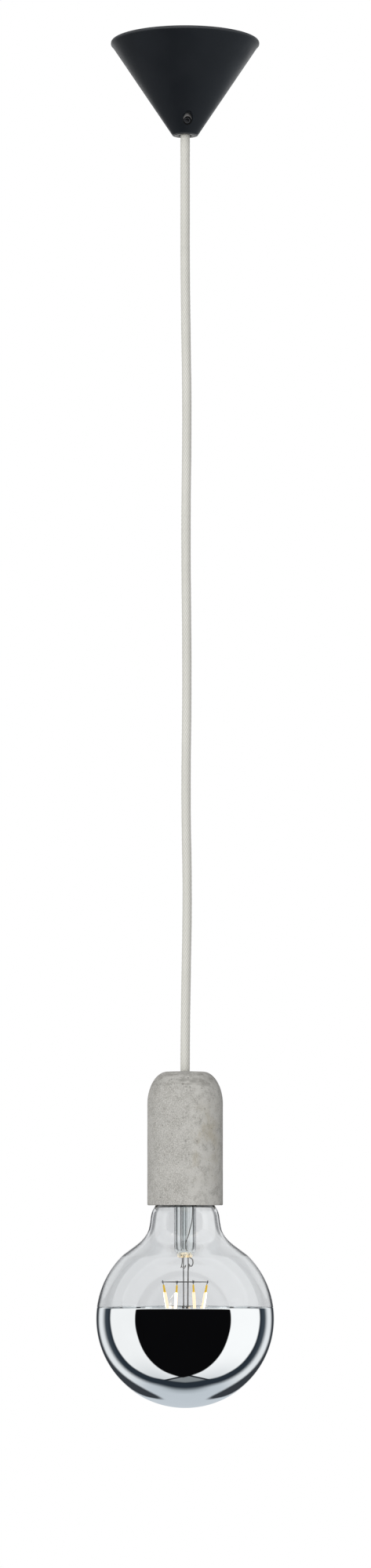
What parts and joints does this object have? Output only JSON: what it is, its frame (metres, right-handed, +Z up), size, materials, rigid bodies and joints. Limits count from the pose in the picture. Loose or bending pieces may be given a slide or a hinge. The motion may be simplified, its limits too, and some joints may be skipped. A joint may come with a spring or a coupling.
{
  "type": "pendant ceiling light",
  "caption": "Pendant ceiling light: black cone canopy, grey braided textile cord, concrete lampholder shell and a mirror-crown globe filament lamp that unscrews.",
  "frame": {"origin": "centre of the ceiling bracket in the ceiling plane, on the lamp axis", "axes": "+Z up into the ceiling, +X along the bracket, -Y is the front, towards the canopy set screw"},
  "size_m": [0.125, 0.125, 0.9577],
  "materials": {
    "black_powder_coat": "satin black powder coat, fine texture",
    "zinc": "turned zinc-plated steel",
    "galvanised": "galvanised sheet steel",
    "nylon_white": "white nylon",
    "plastic_black": "black moulded plastic",
    "seal_rubber": "black rubber",
    "brass": "bare brass",
    "nickel_brass": "nickel-plated brass",
    "cord_textile": "braided textile, warm light grey",
    "wire_brown": "brown insulation",
    "wire_blue": "blue insulation",
    "concrete": "cast concrete, matt, with fine pits",
    "ceramic": "unglazed steatite",
    "vitrite": "black vitrite glass",
    "clear_glass": "clear blown glass",
    "mirror_coat": "silver mirror coating",
    "wire_steel": "oxidised nickel wire",
    "phosphor": "yellow phosphor over light-emitting chips, lit",
    "circuit": "green circuit board"
  },
  "bodies": {
    "ceiling_mount": {"ceiling_bracket": "galvanised", "gland_body": "plastic_black", "gland_locknut": "zinc", "gland_seal": "seal_rubber", "gland_nut": "plastic_black", "terminal_block": "nylon_white", "terminal_inserts": "brass", "terminal_screws": "zinc", "block_screw": "zinc", "upper_conductor_live": "wire_brown", "upper_conductor_neutral": "wire_blue", "cord_upper": "cord_textile"},
    "canopy": {"canopy_cone": "black_powder_coat", "canopy_collar": "zinc"},
    "pad": {"screw_pad": "nylon_white"},
    "screw": {"set_screw": "zinc"},
    "cord_bend": {"cord_link": "cord_textile"},
    "pendant": {"cord_lower": "cord_textile", "concrete_shell": "concrete", "shell_insert": "brass", "cord_nipple": "zinc", "nipple_screw": "zinc", "lampholder_cap": "plastic_black", "lampholder_barrel": "plastic_black", "lampholder_core": "ceramic", "holder_terminals": "brass", "holder_terminal_screws": "zinc", "side_contact": "brass", "centre_contact": "brass", "threaded_socket": "brass", "lower_conductor_live": "wire_brown", "lower_conductor_neutral": "wire_blue"},
    "lamp_travel": {"lamp_centre_contact": "nickel_brass"},
    "lamp": {"lamp_cap": "nickel_brass", "cap_insulator": "vitrite", "glass_globe": "clear_glass", "crown_mirror": "mirror_coat", "glass_stem": "clear_glass", "exhaust_tube": "clear_glass", "lead_wire_left": "wire_steel", "lead_wire_right": "wire_steel", "support_rods": "wire_steel", "upper_ring": "wire_steel", "lower_ring": "wire_steel", "led_filaments": "phosphor", "filament_tabs": "wire_steel", "driver_board": "circuit", "driver_capacitor": "plastic_black"}
  },
  "joints": [
    {"name": "canopy_slide", "type": "slide", "parent": "ceiling_mount", "child": "canopy", "axis": [0, 0, -1], "range_m": [0, 0.06]},
    {"name": "pad_travel", "type": "slide", "parent": "canopy", "child": "pad", "axis": [0.1288, -0.9917, 0], "range_m": [0, 0.0024]},
    {"name": "set_screw_turn", "type": "hinge", "parent": "pad", "child": "screw", "pos_m": [0.00148, -0.0114, -0.0574], "axis": [0.1288, -0.9917, 0], "range_deg": [0, 1080]},
    {"name": "swing_side", "type": "hinge", "parent": "ceiling_mount", "child": "cord_bend", "pos_m": [0, 0, -0.136], "axis": [0, 1, 0], "range_deg": [-15, 15]},
    {"name": "swing_front", "type": "hinge", "parent": "cord_bend", "child": "pendant", "pos_m": [0, 0, -0.155], "axis": [1, 0, 0], "range_deg": [-15, 15]},
    {"name": "lamp_lift", "type": "slide", "parent": "pendant", "child": "lamp_travel", "axis": [0, 0, -1], "range_m": [0, 0.0182]},
    {"name": "lamp_unscrew", "type": "hinge", "parent": "lamp_travel", "child": "lamp", "pos_m": [0, 0, -0.8], "axis": [0, 0, -1], "range_deg": [0, 1800]}
  ],
  "couplings": [
    {"joint": "set_screw_turn", "follows": "pad_travel", "rad_per_m": 7854},
    {"joint": "lamp_lift", "follows": "lamp_unscrew", "m_per_rad": 0.00057757}
  ]
}
